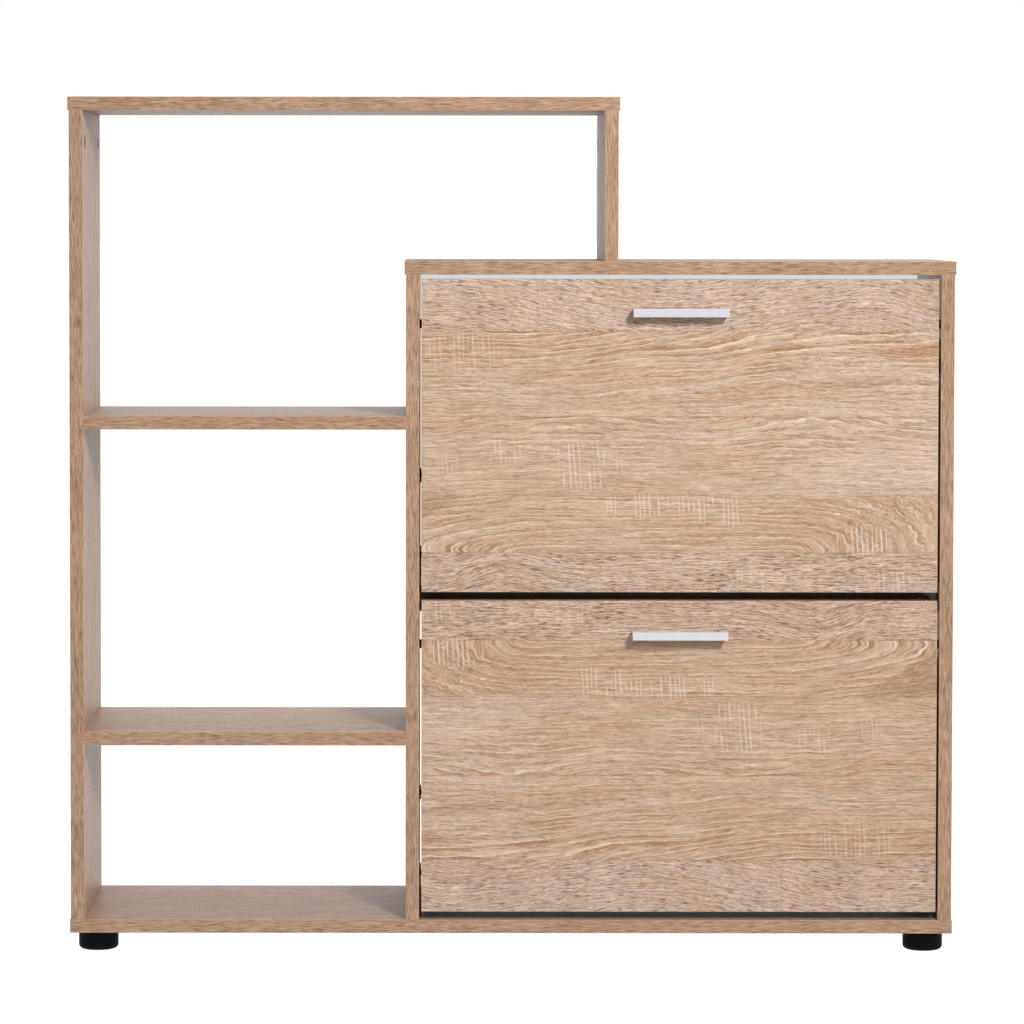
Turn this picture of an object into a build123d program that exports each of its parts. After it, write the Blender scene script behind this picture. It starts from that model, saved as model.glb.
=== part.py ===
from build123d import *
import os
from collections import namedtuple
from math import atan2, degrees, hypot

# A flat-pack shoe cabinet, open at the back: a tall frame with two shelves at the left, and
# beside it a cabinet with two flap doors that tilt out, each carrying a two-pocket rack.
# Millimetres. +X right, +Y back, +Z up. The origin is on the floor, at the middle of the
# whole object's box.

# ------------------------------------------------------------------------ driving sizes
board = 15.0               # thickness of every board and of both doors
depth = 240.0              # front to back of every board
bay_width = 356.0          # clear width of the open bay
cabinet_width = 575.0      # clear width of the cabinet, and of the tall frame above it
cabinet_height = 715.0     # middle and right panels
tall_height = 895.5        # left panel
lower_shelf_rise = 193.8   # from the bottom board up to the lower shelf
upper_shelf_rise = 543.8   # from the bottom board up to the upper shelf
rail_rise = 335.0          # from the bottom board up to the rail between the two doors
rail_depth = 150.0         # the rail's own depth, from the back edge
top_overhang = 1.5         # each top board past the faces of the panels under it
base_overhang = 1.0        # the bottom board past the outer panels
arris = 0.6                # rounding of the boards' edges

door_width = 570.0
door_height = 346.0
door_top_gap = 4.7         # upper door to the cabinet top
door_bottom_gap = 9.0      # lower door to the bottom board, where its edge swings through
pivot_back = 24.0          # pivot axis behind the door's front face
pivot_rise = 40.0          # pivot axis above the door's bottom edge
tilt = 45.0                # degrees that a door opens

foot_radius = 22.0
foot_height = 21.5
foot_side_inset = 29.5     # foot axis from the bottom board's side edge
foot_end_inset = 30.0      # foot axis from its front or back edge

handle_section = 8.8
handle_centres = 96.0
handle_reach = 27.0
handle_drop = 37.0         # handle's middle below the door's top edge

# --------------------------------------------------------------- fittings' own sizes
cam_radius = 7.5
cam_depth = 12.5
cam_setback = 34.0         # cam axis from the end of its board
cam_front = 34.0           # cam and bolt from the front edge
cam_rear = 25.0            # cam and bolt from the back edge
bolt_thread = 11.0         # length of a cam bolt in the board it is screwed to
bolt_thread_radius = 2.5
bolt_shank_radius = 2.9
dowel_radius = 4.0
dowel_in_face = 10.0
dowel_in_end = 20.0
dowel_front = 66.0
dowel_rear = 57.0
rail_cam_inset = 75.0      # the rail's one cam from the back edge
rail_dowel_insets = (25.0, 125.0)
fit = 0.1                  # small clearance round a shank or in a slot

confirmat_length = 50.0
confirmat_head_radius = 5.0
confirmat_head = 3.0
confirmat_shank_radius = 3.5
confirmat_core_radius = 2.5
confirmat_inset = 90.0     # from the front or back edge

side_clearance = 6.0       # side panel to rack side, room for bracket, pins and pegs
rack_wall = 3.0
rack_rim = 2.0
rack_rim_depth = 8.0
rack_board = 3.0
rack_flange = 16.0
stud_radius = 3.0
stud_play = 0.05           # radial running clearance of a rack side on its stud
slot_play = 0.5            # radial clearance of a stop pin in its slot
bracket_thickness = 2.0
stop_pin_radius = 3.0
stop_pin_behind = 30.0     # stop pin behind and above the pivot
stop_pin_above = 86.0
peg_radius = 5.0
peg_above = 256.0          # closing peg above the pivot
peg_gap = 0.3              # closing peg to the door's back
wood_screw_radius = 1.75

# ------------------------------------------------------------------------ worked out
front = handle_reach - (handle_reach + depth) / 2
rear = front + depth
span_over_panels = 3 * board + bay_width + cabinet_width
left_outer = -span_over_panels / 2
left_inner = left_outer + board
middle_left = left_inner + bay_width
middle_right = middle_left + board
right_inner = middle_right + cabinet_width
right_outer = right_inner + board
upright_left = left_inner + cabinet_width
upright_right = upright_left + board
cabinet_middle = (middle_right + right_inner) / 2

base_top = foot_height + board
cabinet_ceiling = base_top + cabinet_height
cabinet_roof = cabinet_ceiling + board
tall_ceiling = base_top + tall_height
tall_roof = tall_ceiling + board

lower_door_bottom = base_top + door_bottom_gap
upper_door_bottom = cabinet_ceiling - door_top_gap - door_height
door_back = front + board
pivot_y = front + pivot_back

Corner = namedtuple("Corner", "x z into face")
UP, DOWN = Vector(0, 0, 1), Vector(0, 0, -1)
RIGHT, LEFT = Vector(1, 0, 0), Vector(-1, 0, 0)
BACK = Vector(0, 1, 0)

# A corner is where a board's end butts on another board's face: its middle line, the
# direction into the butting board, and the way the cam's side of that board faces.
tall_left = Corner(left_outer + board / 2, tall_ceiling, DOWN, RIGHT)
tall_right = Corner(upright_left + board / 2, tall_ceiling, DOWN, LEFT)
top_middle = Corner(middle_left + board / 2, cabinet_ceiling, DOWN, RIGHT)
top_right = Corner(right_inner + board / 2, cabinet_ceiling, DOWN, LEFT)
base_corners = [
    Corner(x + board / 2, base_top, UP, RIGHT) for x in (left_outer, middle_left, right_inner)
]
upright_foot = Corner(upright_left + board / 2, cabinet_roof, UP, LEFT)
shelf_floors = {"lower": base_top + lower_shelf_rise, "upper": base_top + upper_shelf_rise}
rail_floor = base_top + rail_rise
rail_corners = [
    Corner(middle_right, rail_floor + board / 2, RIGHT, DOWN),
    Corner(right_inner, rail_floor + board / 2, LEFT, DOWN),
]


def shelf_corners(floor):
    """The left and right ends of the shelf whose underside is at this height."""
    return [
        Corner(left_inner, floor + board / 2, RIGHT, DOWN),
        Corner(middle_left, floor + board / 2, LEFT, DOWN),
    ]


cam_ys = (front + cam_front, rear - cam_rear)
dowel_ys = (front + dowel_front, rear - dowel_rear)
confirmat_ys = (front + confirmat_inset, rear - confirmat_inset)
rail_cam_ys = (rear - rail_cam_inset,)
rail_dowel_ys = tuple(rear - inset for inset in rail_dowel_insets)

os.makedirs("parts", exist_ok=True)


def save(piece, label):
    """Names a finished piece and writes it to its own file."""
    piece.part.label = label
    export_step(piece.part, f"parts/{label}.step")


# ------------------------------------------------------------------------ drilled places
def at_corner(corner, y, normal):
    """Plane at a corner's middle line, facing along the given normal."""
    return Plane(origin=Vector(corner.x, y, corner.z), z_dir=normal)


def cam_plane(corner, y):
    """Mouth of a cam's pocket, with local X towards the joint."""
    origin = Vector(corner.x, y, corner.z) + corner.into * cam_setback + corner.face * (board / 2)
    return Plane(origin=origin, x_dir=-corner.into, z_dir=corner.face)


def end_holes(corner, cams=cam_ys, pegs=dowel_ys):
    """Holes in the butting board: cam pockets, bolt shanks and dowels."""
    outward = -corner.into
    return [
        (cam_radius, cam_depth, [cam_plane(corner, y) for y in cams]),
        (bolt_shank_radius + fit, cam_setback, [at_corner(corner, y, outward) for y in cams]),
        (dowel_radius, dowel_in_end, [at_corner(corner, y, outward) for y in pegs]),
    ]


def face_holes(corner, cams=cam_ys, pegs=dowel_ys):
    """Holes in the board that is butted on: bolt threads and dowels."""
    return [
        (bolt_thread_radius, bolt_thread, [at_corner(corner, y, corner.into) for y in cams]),
        (dowel_radius, dowel_in_face, [at_corner(corner, y, corner.into) for y in pegs]),
    ]


def screwed_end_holes(corner):
    """Holes in a board's end for two confirmat screws and two dowels."""
    outward = -corner.into
    core = confirmat_length - board
    return [
        (confirmat_core_radius, core, [at_corner(corner, y, outward) for y in confirmat_ys]),
        (dowel_radius, dowel_in_end, [at_corner(corner, y, outward) for y in dowel_ys]),
    ]


def head_plane(corner, y):
    """Where a confirmat's head lies, flush in the far side of the board butted on."""
    origin = Vector(corner.x, y, corner.z) - corner.into * board
    return Plane(origin=origin, z_dir=-corner.into)


def screwed_face_holes(corner):
    """Holes in the board that confirmat screws pass through."""
    heads = [head_plane(corner, y) for y in confirmat_ys]
    return [
        (confirmat_shank_radius, board, heads),
        (confirmat_head_radius, confirmat_head, heads),
        (dowel_radius, dowel_in_face, [at_corner(corner, y, corner.into) for y in dowel_ys]),
    ]


# ------------------------------------------------------ fittings on the cabinet's walls
bracket_front = -8.0       # bracket's outline from the pivot, before and behind it
bracket_rear = 16.0
bracket_head = 9.0         # above the pivot
bracket_screw_behind = 8.0
bracket_screws_below = (12.0, 30.0)
bracket_screw_length = 12.0
stop_thread = 11.0
peg_thread = 10.0
peg_thread_radius = 2.5
pivots = {"lower": lower_door_bottom + pivot_rise, "upper": upper_door_bottom + pivot_rise}
bracket_drops = {"lower": 48.0, "upper": 62.0}   # bracket's outline below the pivot


def wall_point(side, pivot_z, behind, above):
    """Plane on a cabinet wall's inner face, placed from the pivot and facing inwards."""
    x = middle_right if side == "left" else right_inner
    inward = RIGHT if side == "left" else LEFT
    return Plane(origin=(x, pivot_y + behind, pivot_z + above), z_dir=inward)


peg_behind = door_back + peg_gap + peg_radius - pivot_y


def wall_holes(side):
    """Holes in a cabinet wall for both doors' brackets, stop pins and closing pegs."""
    holes = []
    for pivot_z in pivots.values():
        screws = [
            wall_point(side, pivot_z, bracket_screw_behind, -below)
            for below in bracket_screws_below
        ]
        stop = wall_point(side, pivot_z, stop_pin_behind, stop_pin_above)
        peg = wall_point(side, pivot_z, peg_behind, peg_above)
        holes.append((wood_screw_radius, bracket_screw_length, screws))
        holes.append((peg_thread_radius, stop_thread, [stop]))
        holes.append((peg_thread_radius, peg_thread, [peg]))
    return holes


# ------------------------------------------------------------------------------ boards
def make_board(label, x_span, z_span, hole_sets, y_span=(front, rear), edge=arris):
    """A board between the given coordinates, with eased edges and drilled holes."""
    spans = (x_span, y_span, z_span)
    middle = tuple((low + high) / 2 for low, high in spans)
    size = [high - low for low, high in spans]
    with BuildPart() as piece:
        with Locations(middle):
            Box(*size)
        fillet(piece.edges(), edge)
        for radius, hole_depth, places in hole_sets:
            with Locations(*places):
                Hole(radius, hole_depth)
    save(piece, label)


feet_x = (
    left_outer - base_overhang + foot_side_inset,
    right_outer + base_overhang - foot_side_inset,
)
feet_y = (front + foot_end_inset, rear - foot_end_inset)
foot_screw_radius = 2.0
foot_screw_bite = 12.0
foot_mouths = [
    Plane(origin=(x, y, foot_height), z_dir=DOWN) for x in feet_x for y in feet_y
]

base_holes = [(foot_screw_radius, foot_screw_bite, foot_mouths)]
for base_corner in base_corners:
    base_holes += screwed_face_holes(base_corner)
make_board(
    "bottom_board",
    (left_outer - base_overhang, right_outer + base_overhang),
    (foot_height, base_top),
    base_holes,
)

left_shelf_holes = []
middle_shelf_holes = []
for shelf_floor in shelf_floors.values():
    left_end, right_end = shelf_corners(shelf_floor)
    left_shelf_holes += face_holes(left_end)
    middle_shelf_holes += face_holes(right_end)

make_board(
    "left_side_panel",
    (left_outer, left_inner),
    (base_top, tall_ceiling),
    end_holes(tall_left) + screwed_end_holes(base_corners[0]) + left_shelf_holes,
)
make_board(
    "middle_panel",
    (middle_left, middle_right),
    (base_top, cabinet_ceiling),
    end_holes(top_middle) + screwed_end_holes(base_corners[1]) + middle_shelf_holes
    + face_holes(rail_corners[0], rail_cam_ys, rail_dowel_ys) + wall_holes("left"),
)
make_board(
    "right_side_panel",
    (right_inner, right_outer),
    (base_top, cabinet_ceiling),
    end_holes(top_right) + screwed_end_holes(base_corners[2])
    + face_holes(rail_corners[1], rail_cam_ys, rail_dowel_ys) + wall_holes("right"),
)
make_board(
    "cabinet_top_board",
    (middle_left - top_overhang, right_outer + top_overhang),
    (cabinet_ceiling, cabinet_roof),
    face_holes(top_middle) + face_holes(top_right) + screwed_face_holes(upright_foot),
)
make_board(
    "short_upright",
    (upright_left, upright_right),
    (cabinet_roof, tall_ceiling),
    end_holes(tall_right) + screwed_end_holes(upright_foot),
)
make_board(
    "tall_top_board",
    (left_outer - top_overhang, upright_right + top_overhang),
    (tall_ceiling, tall_roof),
    face_holes(tall_left) + face_holes(tall_right),
)
for shelf_name, shelf_floor in shelf_floors.items():
    left_end, right_end = shelf_corners(shelf_floor)
    make_board(
        f"{shelf_name}_shelf",
        (left_inner, middle_left),
        (shelf_floor, shelf_floor + board),
        end_holes(left_end) + end_holes(right_end),
    )

make_board(
    "middle_rail",
    (middle_right, right_inner),
    (rail_floor, rail_floor + board),
    end_holes(rail_corners[0], rail_cam_ys, rail_dowel_ys)
    + end_holes(rail_corners[1], rail_cam_ys, rail_dowel_ys),
    y_span=(rear - rail_depth, rear),
)

# -------------------------------------------------------------------- joining fittings
cross_length = 9.0
cross_width = 1.8
cross_depth = 2.0
cam_bore_radius = 3.4
cam_play = 0.3             # the cam stands this much clear of its pocket's floor
bolt_chamfer = 1.0
dowel_chamfer = 1.0
confirmat_point = 1.5

with BuildPart() as cam:
    Cylinder(cam_radius, cam_depth - cam_play, align=(Align.CENTER, Align.CENTER, Align.MAX))
    for turn in (45, 135):
        with Locations(Location((0, 0, 0), (0, 0, turn))):
            Box(cross_length, cross_width, 2 * cross_depth, mode=Mode.SUBTRACT)
    with BuildSketch(Plane.YZ) as cam_bore:
        with Locations((0, -board / 2)):
            Circle(cam_bore_radius)
    extrude(amount=cam_radius, mode=Mode.SUBTRACT)

with BuildPart() as cam_bolt:
    Cylinder(bolt_shank_radius, cam_setback, align=(Align.CENTER, Align.CENTER, Align.MIN))
    chamfer(cam_bolt.edges().group_by(Axis.Z)[-1], bolt_chamfer)
    Cylinder(bolt_thread_radius, bolt_thread, align=(Align.CENTER, Align.CENTER, Align.MAX))

with BuildPart() as dowel:
    Cylinder(dowel_radius, dowel_in_end, align=(Align.CENTER, Align.CENTER, Align.MIN))
    Cylinder(dowel_radius, dowel_in_face, align=(Align.CENTER, Align.CENTER, Align.MAX))
    chamfer(dowel.edges().filter_by(GeomType.CIRCLE), dowel_chamfer)

hex_size = 2.3
with BuildPart() as confirmat:
    Cylinder(confirmat_head_radius, confirmat_head, align=(Align.CENTER, Align.CENTER, Align.MAX))
    Cylinder(confirmat_shank_radius, board, align=(Align.CENTER, Align.CENTER, Align.MAX))
    Cylinder(
        confirmat_core_radius, confirmat_length, align=(Align.CENTER, Align.CENTER, Align.MAX)
    )
    chamfer(confirmat.edges().group_by(Axis.Z)[0], confirmat_point)
    with BuildSketch(Plane.XY):
        RegularPolygon(hex_size, 6)
    extrude(amount=-confirmat_head, mode=Mode.SUBTRACT)


def save_group(label, pattern, places):
    """Writes one node that holds a copy of the pattern at each place."""
    with BuildPart() as group:
        with Locations(*places):
            add(pattern.part)
    save(group, label)


top_corners = (tall_left, tall_right, top_middle, top_right)
end_corners = [corner for floor in shelf_floors.values() for corner in shelf_corners(floor)]
cam_groups = (
    ("top", top_corners, cam_ys),
    ("shelf", end_corners, cam_ys),
    ("rail", rail_corners, rail_cam_ys),
)
for group_name, corners, ys in cam_groups:
    cam_places = [cam_plane(corner, y) for corner in corners for y in ys]
    bolt_places = [at_corner(corner, y, corner.into) for corner in corners for y in ys]
    save_group(f"{group_name}_cams", cam, cam_places)
    save_group(f"{group_name}_cam_bolts", cam_bolt, bolt_places)

dowel_corners = [*top_corners, *end_corners, *base_corners, upright_foot]
dowel_places = [at_corner(corner, y, corner.into) for corner in dowel_corners for y in dowel_ys]
dowel_places += [
    at_corner(corner, y, corner.into) for corner in rail_corners for y in rail_dowel_ys
]
save_group("dowels", dowel, dowel_places)
save_group(
    "base_screws", confirmat, [head_plane(corner, y) for corner in base_corners for y in confirmat_ys]
)
save_group("upright_screws", confirmat, [head_plane(upright_foot, y) for y in confirmat_ys])

# --------------------------------------------------------------------------------- feet
foot_edge = 5.0            # rounding at the floor
foot_top_edge = 1.0
foot_bore = 2.2
foot_recess = 5.0          # radius of the screw's recess
foot_web = 7.0             # plastic between the screw's head and the board
foot_screw_head = 4.0
foot_screw_head_height = 2.5
foot_screw_edge = 1.0      # the head's rounding and the point's chamfer

with BuildPart() as foot:
    Cylinder(foot_radius, foot_height, align=(Align.CENTER, Align.CENTER, Align.MIN))
    fillet(foot.edges().group_by(Axis.Z)[0], foot_edge)
    fillet(foot.edges().group_by(Axis.Z)[-1], foot_top_edge)
    with Locations(Plane(origin=(0, 0, 0), z_dir=DOWN)):
        CounterBoreHole(foot_bore, foot_recess, foot_height - foot_web, foot_height)

foot_names = ("foot_front_left", "foot_rear_left", "foot_front_right", "foot_rear_right")
foot_centres = [(x, y, 0) for x in feet_x for y in feet_y]
for foot_name, centre in zip(foot_names, foot_centres):
    save_group(foot_name, foot, [centre])

with BuildPart() as foot_screw:
    with BuildSketch(Plane.XY.offset(foot_height - foot_web - foot_screw_head_height)):
        Circle(foot_screw_head)
    extrude(amount=foot_screw_head_height)
    fillet(foot_screw.edges().group_by(Axis.Z)[0], foot_screw_edge)
    with BuildSketch(Plane.XY.offset(foot_height - foot_web)):
        Circle(foot_screw_radius)
    extrude(amount=foot_web + foot_screw_bite)
    chamfer(foot_screw.edges().group_by(Axis.Z)[-1], foot_screw_edge)
save_group("foot_screws", foot_screw, foot_centres)

# ------------------------------------------------------ brackets, studs, pins and pegs
boss_radius = 8.0          # the rack's boss round its stud
boss_height = 6.0
clip_play = 0.3            # clip to boss
clip_radius = 6.0
clip_thickness = 1.2
clip_edge = 0.4
clip_seat = side_clearance + boss_height + clip_play
stud_tip = side_clearance + 9.0
stud_chamfer = 0.5
screw_head_radius = 3.3
screw_point = 1.0
cross_slot = (3.6, 0.8)    # length and width of a small screw's cross recess
cross_slot_depth = 0.8
bracket_corner = 4.0


def make_bracket(side, level):
    """Flat bracket on a cabinet wall, with the stud that its door's rack turns on."""
    pivot = wall_point(side, pivots[level], 0, 0)
    drop = bracket_drops[level]
    low = pivot_y + bracket_front
    high = pivot_y + bracket_rear
    bottom = pivots[level] - drop
    top = pivots[level] + bracket_head
    # Local X of the outline's plane runs backwards and local Y up on both walls.
    wall_x = pivot.origin.X
    inward = pivot.z_dir.X
    outline_plane = Plane(origin=(wall_x, 0, 0), x_dir=BACK, z_dir=RIGHT)
    with BuildPart() as bracket:
        with BuildSketch(outline_plane):
            with Locations(((low + high) / 2, (bottom + top) / 2)):
                RectangleRounded(high - low, top - bottom, bracket_corner)
        extrude(amount=bracket_thickness * inward)
        with BuildSketch(outline_plane):
            with Locations((pivot_y, pivots[level])):
                Circle(stud_radius)
        extrude(amount=stud_tip * inward)
        chamfer(bracket.edges().sort_by(Axis.X)[-1 if inward > 0 else 0], stud_chamfer)
        for below in bracket_screws_below:
            seat = wall_point(side, pivots[level], bracket_screw_behind, -below)
            with Locations(seat.offset(bracket_thickness)):
                CounterSinkHole(wood_screw_radius, screw_head_radius, bracket_thickness)
    save(bracket, f"{level}_{side}_bracket")


for level in pivots:
    for side in ("left", "right"):
        make_bracket(side, level)

wall_sides = [(side, pivot_z) for side in ("left", "right") for pivot_z in pivots.values()]

with BuildPart() as bracket_screw:
    Cylinder(
        wood_screw_radius,
        bracket_thickness + bracket_screw_length,
        align=(Align.CENTER, Align.CENTER, Align.MAX),
    )
    chamfer(bracket_screw.edges().group_by(Axis.Z)[0], screw_point)
    Cone(
        wood_screw_radius,
        screw_head_radius,
        screw_head_radius - wood_screw_radius,
        align=(Align.CENTER, Align.CENTER, Align.MAX),
    )
    for turn in (0, 90):
        with Locations(Location((0, 0, 0), (0, 0, turn))):
            Box(*cross_slot, 2 * cross_slot_depth, mode=Mode.SUBTRACT)
save_group(
    "bracket_screws",
    bracket_screw,
    [
        wall_point(side, pivot_z, bracket_screw_behind, -below).offset(bracket_thickness)
        for side, pivot_z in wall_sides
        for below in bracket_screws_below
    ],
)

with BuildPart() as pivot_clip:
    Cylinder(clip_radius, clip_thickness, align=(Align.CENTER, Align.CENTER, Align.MIN))
    fillet(pivot_clip.edges().group_by(Axis.Z)[-1], clip_edge)
    Cylinder(stud_radius, 3 * clip_thickness, mode=Mode.SUBTRACT)
save_group(
    "pivot_clips",
    pivot_clip,
    [wall_point(side, pivot_z, 0, 0).offset(clip_seat) for side, pivot_z in wall_sides],
)

stop_flange_radius = 8.0
stop_flange = 2.0
stop_past_rack = 1.5       # how far a stop pin stands out of the rack's slot
stop_chamfer = 0.5
peg_edge = 0.8
stop_reach = side_clearance + rack_wall + stop_past_rack
with BuildPart() as stop_pin:
    Cylinder(peg_thread_radius, stop_thread, align=(Align.CENTER, Align.CENTER, Align.MAX))
    Cylinder(stop_flange_radius, stop_flange, align=(Align.CENTER, Align.CENTER, Align.MIN))
    Cylinder(stop_pin_radius, stop_reach, align=(Align.CENTER, Align.CENTER, Align.MIN))
    chamfer(stop_pin.edges().group_by(Axis.Z)[-1], stop_chamfer)
save_group(
    "stop_pins",
    stop_pin,
    [wall_point(side, pivot_z, stop_pin_behind, stop_pin_above) for side, pivot_z in wall_sides],
)

with BuildPart() as closing_peg:
    Cylinder(peg_thread_radius, peg_thread, align=(Align.CENTER, Align.CENTER, Align.MAX))
    Cylinder(
        peg_radius, side_clearance - slot_play, align=(Align.CENTER, Align.CENTER, Align.MIN)
    )
    fillet(closing_peg.edges().group_by(Axis.Z)[-1], peg_edge)
save_group(
    "closing_pegs",
    closing_peg,
    [wall_point(side, pivot_z, peg_behind, peg_above) for side, pivot_z in wall_sides],
)

# ------------------------------------------------------------------ the two flap doors
# The rack's section, measured from the pivot: behind it, then above it.
rack_front = board - pivot_back      # the door's back face
rack_rear = 198.0
rack_bottom = -30.0
rack_rear_top = 108.0
rack_top = 240.0
rack_top_front = 30.0
rack_arc_through = (120.0, 196.0)
rack_corner = 10.0
floor_level = -22.0
divider_behind = 96.0
divider_top = 185.0
rear_board_behind = 187.0
rear_board_top = 100.0
floor_start = rack_front + 4.0       # the rack's floor starts just behind the flange
flange_span = (-25.0, 232.0)
flange_screws_above = (-10.0, 104.0, 218.0)
flange_thickness = 3.0
rack_screw_bite = 11.0
rack_screw_head = 2.0
window_size = (56.0, 66.0)
window_corner = 14.0
windows = ((38.0, 166.0), (148.0, 42.0))
channel_wall = 2.0
rack_board_edge = 0.3

# Each rack board's section: behind the pivot from, to, above it from, to.
rack_boards = {
    "floor": (floor_start, rear_board_behind + rack_board, floor_level, floor_level + rack_board),
    "divider": (divider_behind, divider_behind + rack_board, floor_level + rack_board, divider_top),
    "rear": (
        rear_board_behind,
        rear_board_behind + rack_board,
        floor_level + rack_board,
        rear_board_top,
    ),
}

slot_radius = hypot(stop_pin_behind, stop_pin_above)
stop_angle = degrees(atan2(stop_pin_above, stop_pin_behind))
rack_left = middle_right + side_clearance
rack_right = right_inner - side_clearance


def rectangle_between(behind_low, behind_high, above_low, above_high, grow=0.0):
    """A rectangle of the rack's section, grown by a margin all round."""
    with Locations(((behind_low + behind_high) / 2, (above_low + above_high) / 2)):
        Rectangle(behind_high - behind_low + 2 * grow, above_high - above_low + 2 * grow)


def make_rack_sides(level, pivot_z):
    """The two moulded sides of a rack, with rim, channels, pivot boss and curved slot."""
    section = Plane(origin=(rack_left, pivot_y, pivot_z), x_dir=BACK, z_dir=RIGHT)
    inner = section.offset(rack_wall)
    with BuildPart() as left:
        with BuildSketch(section) as outline:
            with BuildLine():
                Polyline(
                    (rack_top_front, rack_top),
                    (rack_front, rack_top),
                    (rack_front, rack_bottom),
                    (rack_rear, rack_bottom),
                    (rack_rear, rack_rear_top),
                )
                ThreePointArc(
                    (rack_rear, rack_rear_top), rack_arc_through, (rack_top_front, rack_top)
                )
            make_face()
            fillet(outline.vertices().sort_by(Axis.X)[-2:], rack_corner)
        extrude(amount=rack_wall)
        with BuildSketch(inner):
            add(outline.sketch_local)
            offset(outline.sketch_local, -rack_rim, mode=Mode.SUBTRACT)
        extrude(amount=rack_rim_depth)
        with BuildSketch(inner):
            for span in rack_boards.values():
                rectangle_between(*span, grow=channel_wall)
        extrude(amount=rack_rim_depth)
        with BuildSketch(inner):
            rectangle_between(rack_front, rack_front + flange_thickness, *flange_span)
        extrude(amount=rack_flange)
        with BuildSketch(section):
            Circle(boss_radius)
        extrude(amount=boss_height)
        with BuildSketch(inner):
            for span in rack_boards.values():
                rectangle_between(*span, grow=fit)
        extrude(amount=rack_flange, mode=Mode.SUBTRACT)
        with BuildSketch(section):
            Circle(stud_radius + stud_play)
            with BuildLine(mode=Mode.PRIVATE):
                slot_line = CenterArc((0, 0), slot_radius, stop_angle - tilt, tilt)
            SlotArc(slot_line, 2 * (stop_pin_radius + slot_play))
            with Locations(*windows):
                RectangleRounded(*window_size, window_corner)
        extrude(amount=rack_rim_depth + rack_wall, mode=Mode.SUBTRACT)
        with Locations(*flange_mouths(pivot_z, (rack_left,))):
            Hole(wood_screw_radius, flange_thickness)
    save(left, f"{level}_rack_left_side")
    with BuildPart() as right:
        mirror(left.part, about=Plane.YZ.offset(cabinet_middle))
    save(right, f"{level}_rack_right_side")


def flange_mouths(pivot_z, sides=(rack_left, rack_right)):
    """Where the rack's screws go through its flanges into the door's back."""
    reach = rack_wall + rack_flange / 2
    y = pivot_y + rack_front + flange_thickness
    return [
        Plane(origin=(x + (reach if x == rack_left else -reach), y, pivot_z + above), z_dir=BACK)
        for x in sides
        for above in flange_screws_above
    ]


def make_handle(level, door_bottom):
    """Square bar bent to a flat U: a front bar and two legs that stand on the door."""
    middle_z = door_bottom + door_height - handle_drop
    half_out = (handle_centres + handle_section) / 2
    half_in = (handle_centres - handle_section) / 2
    with BuildPart() as handle:
        with BuildSketch(Plane.XY.offset(middle_z - handle_section / 2)):
            with Locations((cabinet_middle, front - handle_reach / 2)):
                Rectangle(2 * half_out, handle_reach)
            with Locations((cabinet_middle, front - (handle_reach - handle_section) / 2)):
                Rectangle(2 * half_in, handle_reach - handle_section, mode=Mode.SUBTRACT)
        extrude(amount=handle_section)
        fillet(handle.edges(), handle_edge)
        with Locations(*handle_mouths(middle_z)):
            Hole(handle_screw_radius, handle_screw_bite)
    save(handle, f"{level}_handle")


handle_screw_radius = 2.0
handle_screw_bite = 12.0
handle_screw_head = 2.5
handle_screw_head_radius = 4.0
handle_edge = 0.5
screw_crown = 0.6          # rounding of a button head, as a share of its height
button_point = 0.8


def handle_mouths(middle_z, y=front, normal=BACK):
    """The two screw places of a handle, on the plane at y."""
    return [
        Plane(origin=(cabinet_middle + side * handle_centres / 2, y, middle_z), z_dir=normal)
        for side in (-1, 1)
    ]


def button_screw(head_radius, head, shank_radius, shank):
    """A screw with a rounded head above its local XY plane and a cross recess."""
    with BuildPart() as screw:
        Cylinder(head_radius, head, align=(Align.CENTER, Align.CENTER, Align.MIN))
        fillet(screw.edges().group_by(Axis.Z)[-1], head * screw_crown)
        Cylinder(shank_radius, shank, align=(Align.CENTER, Align.CENTER, Align.MAX))
        chamfer(screw.edges().group_by(Axis.Z)[0], button_point)
        with BuildSketch(Plane.XY.offset(head)):
            Rectangle(head_radius, head_radius / 5)
            Rectangle(head_radius / 5, head_radius)
        extrude(amount=-head / 2, mode=Mode.SUBTRACT)
    return screw


handle_screw = button_screw(
    handle_screw_head_radius, handle_screw_head, handle_screw_radius, board + handle_screw_bite
)
rack_screw = button_screw(
    screw_head_radius, rack_screw_head, wood_screw_radius, flange_thickness + rack_screw_bite
)


def make_flap(level, door_bottom):
    """One door with everything that tilts with it."""
    pivot_z = door_bottom + pivot_rise
    handle_z = door_bottom + door_height - handle_drop
    door_screws = [plane.offset(-flange_thickness) for plane in flange_mouths(pivot_z)]
    make_board(
        f"{level}_door",
        (cabinet_middle - door_width / 2, cabinet_middle + door_width / 2),
        (door_bottom, door_bottom + door_height),
        [
            (handle_screw_radius + fit, board, handle_mouths(handle_z, door_back)),
            (wood_screw_radius, rack_screw_bite, door_screws),
        ],
        y_span=(front, door_back),
    )
    make_handle(level, door_bottom)
    save_group(f"{level}_handle_screws", handle_screw, handle_mouths(handle_z, door_back))
    make_rack_sides(level, pivot_z)
    save_group(f"{level}_rack_screws", rack_screw, flange_mouths(pivot_z))
    for board_name, (behind_low, behind_high, above_low, above_high) in rack_boards.items():
        make_board(
            f"{level}_rack_{board_name}",
            (rack_left + rack_wall, rack_right - rack_wall),
            (pivot_z + above_low, pivot_z + above_high),
            [],
            y_span=(pivot_y + behind_low, pivot_y + behind_high),
            edge=rack_board_edge,
        )


make_flap("upper", upper_door_bottom)
make_flap("lower", lower_door_bottom)
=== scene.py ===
from math import radians

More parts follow.
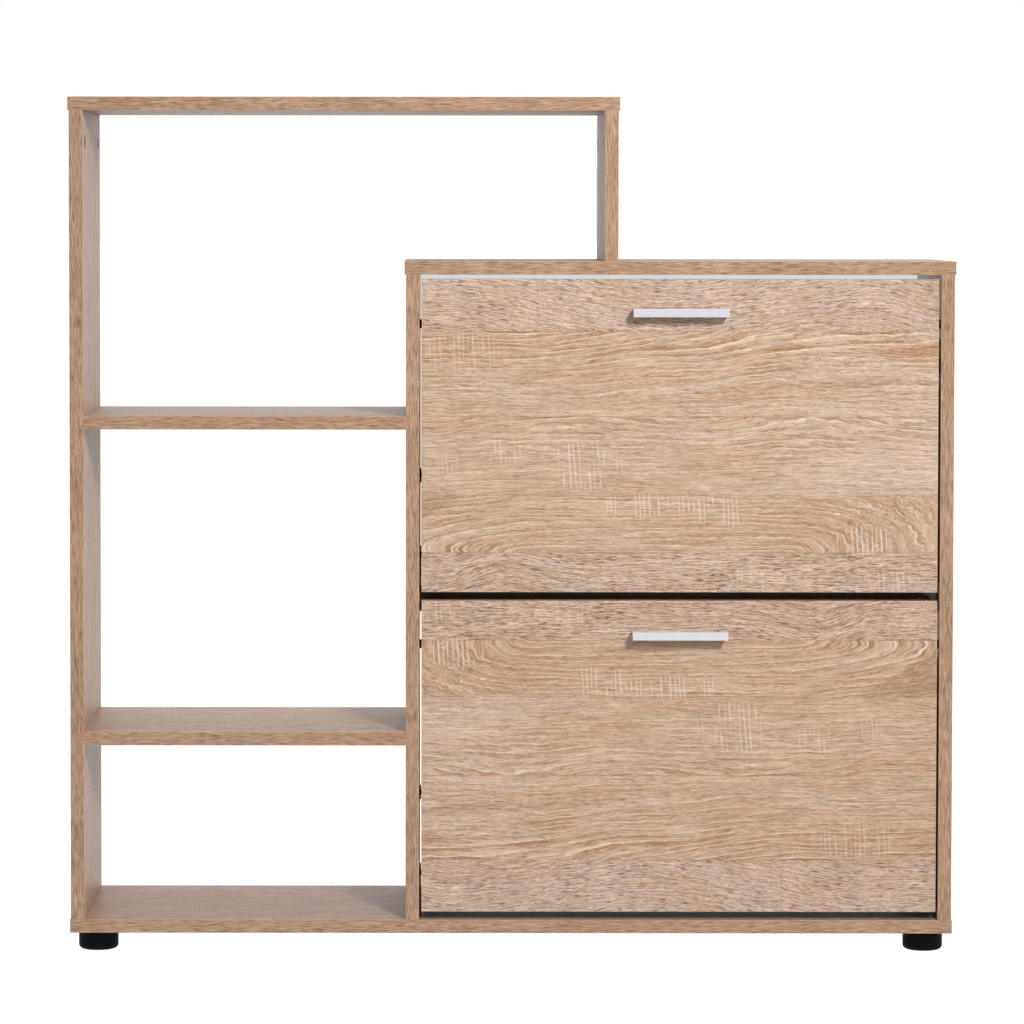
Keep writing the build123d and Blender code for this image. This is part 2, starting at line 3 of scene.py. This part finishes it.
import bpy
from mathutils import Euler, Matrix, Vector


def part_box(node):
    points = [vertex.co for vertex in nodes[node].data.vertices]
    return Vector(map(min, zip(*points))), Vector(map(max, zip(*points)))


# Looks of the shoe cabinet: every CAD node stays as it is and gets a procedural material.
# Metres. Colours are given as they are seen on a screen, 0 to 255.

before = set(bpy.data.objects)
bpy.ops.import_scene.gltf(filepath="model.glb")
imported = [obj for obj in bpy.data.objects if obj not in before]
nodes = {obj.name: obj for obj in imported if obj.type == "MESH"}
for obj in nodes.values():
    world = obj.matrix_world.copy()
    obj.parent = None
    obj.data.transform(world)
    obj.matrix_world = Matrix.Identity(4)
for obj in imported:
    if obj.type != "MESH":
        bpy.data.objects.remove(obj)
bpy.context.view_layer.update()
MM = 0.001


# ------------------------------------------------------------------ node tree helpers
class Num:
    """A number socket of a node tree, usable in plain arithmetic."""

    def __init__(self, tree, socket):
        self.tree = tree
        self.socket = socket

    def __add__(self, other):
        return self.tree.math("ADD", self, other)

    def __radd__(self, other):
        return self.tree.math("ADD", other, self)

    def __sub__(self, other):
        return self.tree.math("SUBTRACT", self, other)

    def __rsub__(self, other):
        return self.tree.math("SUBTRACT", other, self)

    def __mul__(self, other):
        return self.tree.math("MULTIPLY", self, other)

    def __rmul__(self, other):
        return self.tree.math("MULTIPLY", other, self)

    def __truediv__(self, other):
        return self.tree.math("DIVIDE", self, other)

    def __neg__(self):
        return self.tree.math("MULTIPLY", self, -1.0)

    def abs(self):
        return self.tree.math("ABSOLUTE", self)

    def fract(self):
        return self.tree.math("FRACT", self)

    def sqrt(self):
        return self.tree.math("SQRT", self)

    def exp(self):
        return self.tree.math("EXPONENT", self)

    def above(self, level):
        return self.tree.math("GREATER_THAN", self, level)

    def at_least(self, level):
        return self.tree.math("MAXIMUM", self, level)

    def at_most(self, level):
        return self.tree.math("MINIMUM", self, level)

    def rise(self, low, high):
        """0 below low, 1 above high, smooth between them. With low over high it falls."""
        return self.tree.ramp(self, low, high)


class Tree:
    """One material's node tree. Its methods add nodes and return their outputs."""

    def __init__(self, name):
        self.material = bpy.data.materials.new(name)
        self.material.use_nodes = True
        self.nodes = self.material.node_tree.nodes
        self.links = self.material.node_tree.links
        self.shader = self.nodes["Principled BSDF"]
        place = self.nodes.new("ShaderNodeTexCoord")
        self.x, self.y, self.z = self.split(place.outputs["Object"])
        self.facing = self.split(place.outputs["Normal"])

    def put(self, socket, value):
        value = value.socket if isinstance(value, Num) else value
        if isinstance(value, bpy.types.NodeSocket):
            self.links.new(value, socket)
        else:
            socket.default_value = value

    def split(self, vector):
        node = self.nodes.new("ShaderNodeSeparateXYZ")
        self.put(node.inputs[0], vector)
        return [Num(self, output) for output in node.outputs]

    def vector(self, x, y, z):
        node = self.nodes.new("ShaderNodeCombineXYZ")
        for socket, value in zip(node.inputs, (x, y, z)):
            self.put(socket, value)
        return node.outputs[0]

    def math(self, operation, *values):
        node = self.nodes.new("ShaderNodeMath")
        node.operation = operation
        for socket, value in zip(node.inputs, values):
            self.put(socket, value)
        return Num(self, node.outputs[0])

    def ramp(self, value, low, high):
        node = self.nodes.new("ShaderNodeMapRange")
        node.interpolation_type = "SMOOTHSTEP"
        ends = (low, high, 0.0, 1.0) if low < high else (high, low, 1.0, 0.0)
        self.put(node.inputs["Value"], value)
        for name, end in zip(("From Min", "From Max", "To Min", "To Max"), ends):
            node.inputs[name].default_value = end
        return Num(self, node.outputs["Result"])

    def noise(self, x, y, z, detail=2.0, roughness=0.5):
        """Noise from 0 to 1, about 0.5, with features about one unit across."""
        node = self.nodes.new("ShaderNodeTexNoise")
        self.put(node.inputs["Vector"], self.vector(x, y, z))
        node.inputs["Scale"].default_value = 1.0
        node.inputs["Detail"].default_value = detail
        node.inputs["Roughness"].default_value = roughness
        return Num(self, node.outputs[0])

    def mix(self, share, first, second, blend="MIX"):
        node = self.nodes.new("ShaderNodeMix")
        node.data_type = "RGBA"
        node.blend_type = blend
        # A Mix node has sockets for every data type. These are its factor and its colours.
        factor, first_colour, second_colour, colour_result = 0, 6, 7, 2
        for index, value in ((factor, share), (first_colour, first), (second_colour, second)):
            self.put(node.inputs[index], value)
        return node.outputs[colour_result]

    def gain(self, colour, factor):
        """The colour, times a number."""
        node = self.nodes.new("ShaderNodeVectorMath")
        node.operation = "SCALE"
        self.put(node.inputs[0], colour)
        self.put(node.inputs["Scale"], factor)
        return node.outputs[0]

    def finish(self, colour, roughness, height=None, depth=0.0, **shader_values):
        """Sets the shader. depth is how far the height's 1 stands above its 0."""
        self.put(self.shader.inputs["Base Color"], colour)
        self.put(self.shader.inputs["Roughness"], roughness)
        for name, value in shader_values.items():
            self.shader.inputs[name.replace("_", " ")].default_value = value
        if height is not None:
            bump = self.nodes.new("ShaderNodeBump")
            bump.inputs["Distance"].default_value = depth
            self.put(bump.inputs["Height"], height)
            self.put(self.shader.inputs["Normal"], bump.outputs[0])
        return self.material


def seen(red, green, blue):
    """A screen colour as the shader wants it, by the sRGB curve."""
    share = [value / 255 for value in (red, green, blue)]
    return (*[((s + 0.055) / 1.055) ** 2.4 for s in share], 1.0)


def assign(material, *names):
    """Gives the material to every slot of these CAD nodes."""
    for name in names:
        for slot in nodes[name].material_slots:
            slot.material = material


# ------------------------------------------------------------------------ oak boards
# The boards are chipboard with a printed oak decor of wide planks, and every board and
# door is cut from the same print. Print coordinates, in millimetres: along the grain from
# the print's left, and across it from its top.
# The numbers that divide along, across and level are sizes of features in millimetres.
PLANKS = (58.0, 152.0, 239.0, 302.0, 372.0, 458.0)  # where planks A, B, C, D, E and F end
JOIN_SOFT = 0.25  # half the width of the change from one plank to the next
RING_PITCH = 5.6
SAW_PITCH = 5.4
SAW_LEAN = 0.06  # how far a saw mark leans along the grain, per millimetre across it
ILLUMINATION = 2.17  # how brightly the studio lights a front face
BOARD_ROUGHNESS = 0.44
BOARD_SPECULAR = 0.35
BOARD_RELIEF = 0.1 * MM
FACE_TINT = (1.04, 0.96, 0.96)
# Painted shade on the bottom board: its print is made darker and warmer than the other boards'.
BOTTOM_BOARD_SHADE = (0.97, 0.86, 0.85)
# Painted shade on the lower door: its print is made a little darker and warmer than the upper
# door's.
LOWER_DOOR_SHADE = (0.985, 0.968, 0.95)
LOWER_DOOR_SHIFT = 43.0  # how much further along the print the lower door is cut

# Patches of saw marks on the print: (along, across, half sizes, strength).
SAW_PATCHES = (
    (45, 80, 50, 24, 0.55),
    (128, 40, 9, 40, 0.35),
    (180, 206, 44, 30, 1.0),
    (92, 190, 28, 16, 0.7),
    (30, 202, 14, 14, 0.6),
    (146, 268, 3, 34, 1.1),
    (248, 250, 60, 14, 1.0),
    (330, 256, 36, 20, 0.9),
    (490, 288, 36, 17, 1.3),
    (366, 334, 26, 14, 0.9),
    (516, 334, 30, 14, 0.8),
)

PALE = seen(213, 185, 158)
GREY = seen(207, 182, 166)
TAN = seen(192, 149, 107)
CREAM = seen(236, 215, 198)
BROWN = seen(116, 72, 42)
LATE_WOOD = seen(184, 139, 96)
LIGHT_END = seen(222, 200, 184)
LIGHT_BAND = seen(224, 201, 180)
DARK_WEDGE = seen(168, 130, 98)
SAW_WHITE = seen(240, 221, 206)
# The colour of the painted highlight on the eased edges.
PAINTED_EDGE_HIGHLIGHT = seen(226, 204, 186)


def between(value, low, high, soft):
    """1 between low and high, with soft ends."""
    return value.rise(low - soft, low + soft) * value.rise(high + soft, high - soft)


def saw_marks(t, along, across):
    """How strongly the pale saw marks, square to the grain, show at a place on the print."""
    patch = 0.0
    for middle, level, half_along, half_across, strength in SAW_PATCHES:
        aside = (along - middle) / half_along
        above = (across - level) / half_across
        patch = patch + (aside * aside + above * above).rise(1.15, 0.55) * strength
    bend = t.noise(along / 14, across / 140, 3.1, detail=1.0) * 7
    phase = ((along - across * SAW_LEAN + bend) / SAW_PITCH).fract()
    lines = phase.rise(0.28, 0.5) * phase.rise(0.72, 0.5)
    kept = t.noise(along / 6, across / 60, 5.6, detail=1.0).rise(0.4, 0.56)
    broken = t.noise(along / 3, across / 2, 8.2, detail=1.0).rise(0.3, 0.6)
    return (patch * lines * kept * (0.5 + broken * 0.5)).at_most(1)


def oak_face(t, along, across):
    """The print's colour, and its height for the bump, from print coordinates."""
    # 1 within each of the planks A to E, and 0 outside it.
    a_part = across.rise(PLANKS[0] + JOIN_SOFT, PLANKS[0] - JOIN_SOFT)
    b_part, c_part, d_part, e_part = (
        between(across, start, end, JOIN_SOFT) for start, end in zip(PLANKS, PLANKS[1:5])
    )
    f_part = across.rise(PLANKS[4] - 1, PLANKS[4] + 1)

    # How far each plank's grain lines are carried off the straight, in millimetres.
    a_shift = along.rise(30, 290) * -34 + along.rise(280, 500) * 26 - along.rise(500, 600) * 20
    b_fade = ((PLANKS[0] - across) / 62).exp()
    b_shift = (along.rise(120, 300) * 20 + along.rise(270, 420) * 16) * b_fade
    c_fade = ((PLANKS[1] - across) / 28).exp()
    c_shift = along.rise(10, 90) * 12 - along.rise(180, 330) * 10 + along.rise(270, 420) * 18
    c_shift = (c_shift - along.rise(420, 570) * 9) * c_fade
    # D's rings curve round a point near each end of the print.
    above_d_end = PLANKS[3] - across
    d_reach = (133 - along).at_least(0) * 0.24 + (along - 408).at_least(0) * 0.45
    d_shift = above_d_end - (above_d_end * above_d_end + d_reach * d_reach).sqrt()
    crinkle = t.noise(along / 13, across / 6, 6.4, detail=2.0) - 0.5
    d_shift = d_shift + along.rise(425, 490) * crinkle * 10
    hump = (along - 96) / 46
    e_shift = (-(hump * hump)).exp() * 12 + along.rise(120, 10) * -8
    shift = a_part * a_shift + b_part * b_shift + c_part * c_shift + d_part * d_shift
    shift = shift + e_part * e_shift

    plank = across.above(PLANKS[0])
    for end in PLANKS[1:]:
        plank = plank + across.above(end)
    own = plank * 37.7  # far apart in the noise, so that each plank has its own figure
    wander = t.noise(along / 95, across / 30, own, detail=2.0) - 0.5
    ripple = t.noise(along / 20, across / 8, own, detail=2.0) - 0.5
    level = across + shift + wander * 9 + ripple * 1.6

    # Growth rings: each darkens slowly and ends in a pale line.
    ring = level / RING_PITCH + t.noise(level / 16, own, along / 400, detail=1.0) * 3.4
    phase = ring.fract()
    late = phase.rise(0.1, 0.85) * phase.rise(1.0, 0.93)
    limed = phase.rise(0.2, 0.0) + phase.rise(0.93, 1.0)
    uneven = t.noise(along / 60, level / 9, own + 5, detail=2.0)
    ring_power = a_part * 0.3 + b_part * (b_fade * 1.8).at_most(1.35)
    ring_power = ring_power + c_part * (c_fade * 0.9 + 0.35)
    ring_power = ring_power + d_part + e_part * 0.6 + f_part * 0.6
    ring_power = ring_power * uneven.rise(0.25, 0.6)

    # Fibres, pale and dark, and the longer dark pores.
    fibre = t.noise(along / 34, level, own, detail=2.0, roughness=0.6)
    grain = t.noise(along / 6, level / 0.8, own + 9, detail=1.0)
    pore = t.noise(along / 12, level / 0.9, own + 3, detail=0.0)
    crowd = t.noise(along / 50, level / 22, own + 7, detail=1.0)
    pores = (pore + (crowd - 0.5) * 0.25).rise(0.6, 0.7)
    pore_power = a_part * 0.9 + b_part * 0.45 + c_part * 0.4 + d_part * 0.5 + e_part * 0.98
    pore_power = pore_power + f_part * 0.8
    fleck = t.noise(along / 12, level / 1.1, own + 15, detail=1.0).rise(0.55, 0.7)

    # Colour: the ground, the broad bands, the rings, and the fine marks on top.
    cloud = t.noise(along / 130, across / 45, own + 1, detail=2.0)
    greyness = a_part * 0.7 + e_part * 0.55 + c_part * 0.12 + b_part * 0.1
    greyness = (greyness + cloud.rise(0.5, 0.75) * 0.35).at_most(1)
    colour = t.mix(greyness, PALE, GREY)
    light_end = (b_part + c_part) * along.rise(330, 500) * (1.0 - b_part * b_fade * 0.8)
    colour = t.mix(light_end * 0.6, colour, LIGHT_END)
    band = t.noise(along / 380, level / 13, own + 21, detail=1.0)
    smooth_part = b_part + c_part + d_part
    colour = t.mix(band.rise(0.52, 0.68) * smooth_part * 0.24, colour, TAN)
    colour = t.mix(band.rise(0.46, 0.3) * smooth_part * 0.3, colour, LIGHT_BAND)
    warm = t.noise(along / 130, level / 12, own + 2, detail=2.0).rise(0.42, 0.72)
    colour = t.mix(warm * (0.42 - light_end * 0.2), colour, TAN)
    colour = t.mix((late * ring_power * 0.68).at_most(1), colour, LATE_WOOD)
    colour = t.mix((limed * ring_power * 0.5).at_most(1), colour, CREAM)
    wedge = d_part * (along * 0.55 + (across - PLANKS[2])).rise(30, 22)
    colour = t.mix(wedge * 0.5, colour, DARK_WEDGE)
    rough_part = a_part + e_part
    fine = ((fibre - 0.5) * 1.7 + (grain - 0.5) * 1.3) * (rough_part * 0.5 + 0.7)
    colour = t.gain(colour, 1.0 + fine)
    colour = t.mix((pores * pore_power * 0.75).at_most(0.95), colour, BROWN)
    colour = t.mix(fleck * 0.4, colour, CREAM)
    colour = t.mix(saw_marks(t, along, across) * 0.85, colour, SAW_WHITE)
    seams = 0.0
    for end in PLANKS:
        seams = seams + (across - end).abs().rise(0.9, 0.2)
    colour = t.mix(seams * 0.2, colour, BROWN)
    height = 0.5 + fine * 0.5 - pores * pore_power * 0.5
    return colour, height


def oak_edge(t, along, thick, wide):
    """The edge banding's colour and height: browner, with short strong streaks."""
    level = thick + wide + (t.noise(along / 55, thick / 12, wide / 12) - 0.5) * 4
    fibre = t.noise(along / 15, level, thick / 9, detail=2.0, roughness=0.6)
    pores = t.noise(along / 15, level / 0.9, 4.0, detail=0.0).rise(0.57, 0.68)
    pale_streak = t.noise(along / 13, level, 11.0, detail=0.0).rise(0.57, 0.7)
    cloud = t.noise(along / 80, level / 30, 2.0, detail=1.0)
    colour = t.mix(cloud.rise(0.3, 0.7), seen(192, 156, 126), seen(182, 144, 113))
    colour = t.gain(colour, 1.0 + (fibre - 0.5) * 1.9)
    colour = t.mix(pores * 0.55, colour, seen(116, 74, 46))
    colour = t.mix(pale_streak * 0.35, colour, seen(216, 182, 152))
    return colour, 0.5 + (fibre - 0.5) * 0.7 - pores * 0.4


def oak(name, grain, across, origin=(0.0, 0.0), turned=False, tint=(1.0, 1.0, 1.0)):
    """Decor with its grain along one axis and its planks across another.

    origin is the place on the print, in millimetres, of the frame's zero. turned turns the
    print half round, and tint multiplies the colour of the faces."""
    t = Tree(name)
    axes = {"x": t.x, "y": t.y, "z": t.z}
    facing = dict(zip("xyz", t.facing))
    thin = "xyz".replace(grain, "").replace(across, "")
    sign = -1.0 if turned else 1.0
    print_along = axes[grain] * (sign / MM) + origin[0]
    print_across = axes[across] * (-sign / MM) + origin[1]
    thickness = axes[thin] * (1 / MM)
    colour, height = oak_face(t, print_along, print_across)
    edge_colour, edge_height = oak_edge(t, print_along, thickness, print_across)
    on_face = facing[thin].abs().rise(0.6, 0.8)
    # For the lower door and the bottom board, this tint is painted shade.
    colour = t.mix(1.0, colour, (*tint, 1.0), "MULTIPLY")
    colour = t.mix(on_face, edge_colour, colour)
    height = edge_height + (height - edge_height) * on_face
    # The eased edges get a painted highlight: a pale colour where their round catches the light.
    squareness = facing["x"].abs().at_least(facing["y"].abs()).at_least(facing["z"].abs())
    painted_highlight = squareness.rise(0.985, 0.9)
    colour = t.mix(painted_highlight * 0.45, colour, PAINTED_EDGE_HIGHLIGHT)
    colour = t.gain(colour, 1 / ILLUMINATION)
    roughness = BOARD_ROUGHNESS - (height - 0.5) * 0.2
    return t.finish(
        colour, roughness, height, BOARD_RELIEF, Specular_IOR_Level=BOARD_SPECULAR
    )


# The upper door starts at the print's top left corner. The lower door is turned half round, and
# gets painted shade that makes it a little darker and warmer.
upper_low, upper_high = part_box("upper_door")
upper_origin = (-upper_low.x / MM, upper_high.z / MM)
assign(oak("oak_upper_door", "x", "z", upper_origin), "upper_door")
lower_low, lower_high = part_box("lower_door")
lower_origin = (lower_high.x / MM - LOWER_DOOR_SHIFT, -lower_low.z / MM)
assign(
    oak("oak_lower_door", "x", "z", lower_origin, turned=True, tint=LOWER_DOOR_SHADE),
    "lower_door",
)
for name, grain, across, origin in (
    ("tall_top_board", "x", "y", (620, 240)),
    ("cabinet_top_board", "x", "y", (300, 330)),
    ("upper_shelf", "x", "y", (700, 180)),
    ("lower_shelf", "x", "y", (560, 290)),
    ("left_side_panel", "z", "y", (0, 140)),
    ("right_side_panel", "z", "y", (60, 260)),
    ("middle_panel", "z", "y", (210, 330)),
    ("short_upright", "z", "y", (-600, 200)),
):
    assign(oak("oak_" + name, grain, across, origin, tint=FACE_TINT), name)
# The bottom board gets painted shade, darker and warmer than the other boards.
assign(oak("oak_bottom_board", "x", "y", (520, 150), tint=BOTTOM_BOARD_SHADE), "bottom_board")


# --------------------------------------------------------------------- other materials
def brushed_aluminium():
    """Satin aluminium bar, brushed along its length."""
    t = Tree("brushed_aluminium")
    x, y, z = (axis * (1 / MM) for axis in (t.x, t.y, t.z))
    brush = t.noise(x / 26, y / 0.25, z / 0.25, detail=3.0, roughness=0.65)
    cloud = t.noise(x / 18, y / 6, z / 6, detail=2.0)
    colour = t.mix(brush, seen(232, 232, 238), seen(250, 250, 254))
    rough = 0.3 + brush * 0.12 + cloud * 0.06
    return t.finish(colour, rough, brush, 0.02 * MM, Metallic=0.86)


def plated_steel(name, light, dark, roughness, metal):
    """Plated or cast zinc, slightly mottled."""
    t = Tree(name)
    x, y, z = (axis * (1 / MM) for axis in (t.x, t.y, t.z))
    mottle = t.noise(x / 2.4, y / 2.4, z / 2.4, detail=3.0)
    pits = t.noise(x / 0.5, y / 0.5, z / 0.5, detail=2.0)
    colour = t.mix(mottle.rise(0.3, 0.7), light, dark)
    rough = roughness - 0.08 + mottle * 0.16
    return t.finish(colour, rough, pits, 0.03 * MM, Metallic=metal, Specular_IOR_Level=0.2)


def black_coat(name, tone, roughness, grain, relief, gloss):
    """Black plastic or paint. grain is the size of its skin's texture and relief its depth."""
    t = Tree(name)
    x, y, z = (axis * (1 / MM / grain) for axis in (t.x, t.y, t.z))
    skin = t.noise(x, y, z, detail=3.0, roughness=0.6)
    dust = t.noise(x / 30, y / 30, z / 30, detail=3.0).rise(0.45, 0.8)
    colour = t.mix(dust * 0.5, (*(tone,) * 3, 1.0), (*(tone * 2.2,) * 3, 1.0))
    rough = roughness + (skin - 0.5) * 0.2 + dust * 0.06
    return t.finish(colour, rough, skin, relief * MM, Specular_IOR_Level=gloss)


def beech():
    """Turned beech dowels."""
    t = Tree("beech")
    x, y, z = (axis * (1 / MM) for axis in (t.x, t.y, t.z))
    fibre = t.noise(x / 3, y, z / 3, detail=4.0, roughness=0.6)
    colour = t.mix(fibre.rise(0.3, 0.7), seen(222, 186, 144), seen(196, 156, 112))
    return t.finish(colour, 0.65, fibre, 0.05 * MM)


def rail_board():
    """The hidden rail is cut from plain dark board, matt."""
    t = Tree("rail_board")
    x, y, z = (axis * (1 / MM) for axis in (t.x, t.y, t.z))
    fibre = t.noise(x / 14, y / 1.2, z / 1.2, detail=4.0, roughness=0.6)
    colour = t.mix(fibre.rise(0.3, 0.7), seen(148, 120, 102), seen(172, 142, 122))
    return t.finish(colour, 0.85, fibre, 0.05 * MM, Specular_IOR_Level=0.0)


assign(rail_board(), "middle_rail")
assign(brushed_aluminium(), "upper_handle", "lower_handle")
zinc = plated_steel(
    "zinc_plate", seen(214, 216, 220), seen(182, 186, 192), roughness=0.34, metal=1.0
)
# The cams are coloured dark grey: painted shade, as they look in the shade of the panels.
cast = plated_steel("cast_zinc", seen(88, 84, 82), seen(58, 56, 55), roughness=0.6, metal=0.4)
feet = black_coat("foot_plastic", tone=0.002, roughness=0.6, grain=0.5, relief=0.03, gloss=0.06)
rack = black_coat("rack_plastic", tone=0.012, roughness=0.5, grain=0.7, relief=0.06, gloss=0.3)
paint = black_coat("black_paint", tone=0.012, roughness=0.4, grain=0.9, relief=0.03, gloss=0.3)
screws = [name for name in nodes if name.endswith("screws")]
bolts = [name for name in nodes if name.endswith("cam_bolts")]
assign(zinc, *screws, *bolts, "pivot_clips")
assign(cast, *[name for name in nodes if name.endswith("_cams")])
assign(beech(), "dowels")
assign(feet, *[name for name in nodes if name.startswith("foot_") and name != "foot_screws"])
assign(paint, *[name for name in nodes if name.endswith("_bracket")], "stop_pins")
assign(rack, *[name for name in nodes if "_rack_" in name and not name.endswith("screws")])
assign(rack, "closing_pegs")


# ----------------------------------------------------------------- floor, light, camera
FLOOR_HALF = 120.0
FRONT_GLOW, GLOW = 0.38, 1.0
# The wedge below is a painted shadow on the floor: there the floor glows dimmer.
WEDGE_POINT = (-0.079, -4.77)  # the grey wedge of floor spreads from here, away to the back
WEDGE_SIDES = (-0.0063, 0.119)  # the slopes of its two sides
WEDGE_ENDS = (9.0, 68.0)  # metres from its point


def pale_floor():
    """Glowing white, greyer in front of the cabinet and in a wedge far behind the doors."""
    t = Tree("pale_floor")
    haze = t.noise(t.x / 0.9, t.y / 0.9, 0.0, detail=3.0)
    grit = t.noise(t.x / 0.004, t.y / 0.004, 0.0, detail=3.0)
    away = t.y - WEDGE_POINT[1]
    aside = (t.x - WEDGE_POINT[0]) / away
    # Painted shadow: within the wedge the floor glows half as bright.
    painted_shadow_wedge = between(aside, *WEDGE_SIDES, 0.0006) * between(away, *WEDGE_ENDS, 1.0)
    glow = t.y.rise(-1.0, -0.5) * (GLOW - FRONT_GLOW) + FRONT_GLOW - painted_shadow_wedge * 0.5
    colour = t.mix(haze, seen(84, 84, 84), seen(92, 92, 92))
    t.shader.inputs["Emission Color"].default_value = (1.0, 1.0, 1.0, 1.0)
    t.put(t.shader.inputs["Emission Strength"], glow)
    return t.finish(colour, 0.75, grit, 0.05 * MM, Specular_IOR_Level=0.1)


floor_mesh = bpy.data.meshes.new("floor")
corners = [(-1, -1), (1, -1), (1, 1), (-1, 1)]
floor_mesh.from_pydata([(x * FLOOR_HALF, y * FLOOR_HALF, 0) for x, y in corners], [], [range(4)])
floor = bpy.data.objects.new("floor", floor_mesh)
bpy.context.scene.collection.objects.link(floor)
floor_mesh.materials.append(pale_floor())

world = bpy.data.worlds.new("studio")
bpy.context.scene.world = world
world.use_nodes = True
sky = world.node_tree.nodes["Background"]
sky.inputs["Color"].default_value = (1.0, 1.0, 1.0, 1.0)


def world_node(kind, *sources, **values):
    """Adds a node to the world's tree, fed by these sockets in turn."""
    node = world.node_tree.nodes.new(kind)
    for name, value in values.items():
        setattr(node, name, value)
    for socket, source in zip(node.inputs, sources):
        if isinstance(source, float):
            socket.default_value = source
        else:
            world.node_tree.links.new(source, socket)
    return node


# The studio is dimmer in front of the object and brighter overhead.
FRONT_STRENGTH, OVERHEAD_STRENGTH = 0.62, 1.6
way = world_node("ShaderNodeTexCoord").outputs["Generated"]
parts = world_node("ShaderNodeSeparateXYZ", way)
behind = world_node(
    "ShaderNodeMapRange",
    *(parts.outputs["Y"], -0.5, 0.6, FRONT_STRENGTH, 1.0),
    interpolation_type="SMOOTHSTEP",
)
overhead = world_node(
    "ShaderNodeMapRange",
    *(parts.outputs["Z"], 0.1, 1.0, 1.0, OVERHEAD_STRENGTH),
    interpolation_type="SMOOTHSTEP",
)
strength = world_node(
    "ShaderNodeMath", behind.outputs[0], overhead.outputs[0], operation="MULTIPLY"
)
world.node_tree.links.new(strength.outputs[0], sky.inputs["Strength"])


def soft_box(name, place, aim, power, width, height, spread):
    """A rectangular soft light that points at aim and isn't seen itself. Spread in degrees."""
    lamp = bpy.data.lights.new(name, "AREA")
    lamp.shape = "RECTANGLE"
    lamp.size = width
    lamp.size_y = height
    lamp.energy = power
    lamp.spread = radians(spread)
    light = bpy.data.objects.new(name, lamp)
    light.location = place
    light.rotation_euler = (Vector(aim) - Vector(place)).to_track_quat("-Z", "Y").to_euler()
    light.visible_camera = False
    light.visible_glossy = False
    bpy.context.scene.collection.objects.link(light)


soft_box(
    "key",
    place=(0.98, -3.1, 1.75),
    aim=(0.0, 0.0, 0.95),
    power=58,
    width=0.5,
    height=0.5,
    spread=105,
)

# The camera looks a little down, from nearly straight in front.
CAMERA_DOWN, CAMERA_ROLL = radians(2.554), radians(-0.057)
camera_data = bpy.data.cameras.new("camera")
camera_data.sensor_width = 36.0
camera_data.lens = 148.89
camera_data.shift_x = 0.07005
camera_data.shift_y = -0.1053
camera = bpy.data.objects.new("camera", camera_data)
camera.location = (-0.0792, -4.7723, 0.8168)
camera.rotation_euler = Euler((radians(90) - CAMERA_DOWN, CAMERA_ROLL, 0.0))
bpy.context.scene.collection.objects.link(camera)
bpy.context.scene.camera = camera

bpy.context.scene.view_settings.view_transform = "Standard"
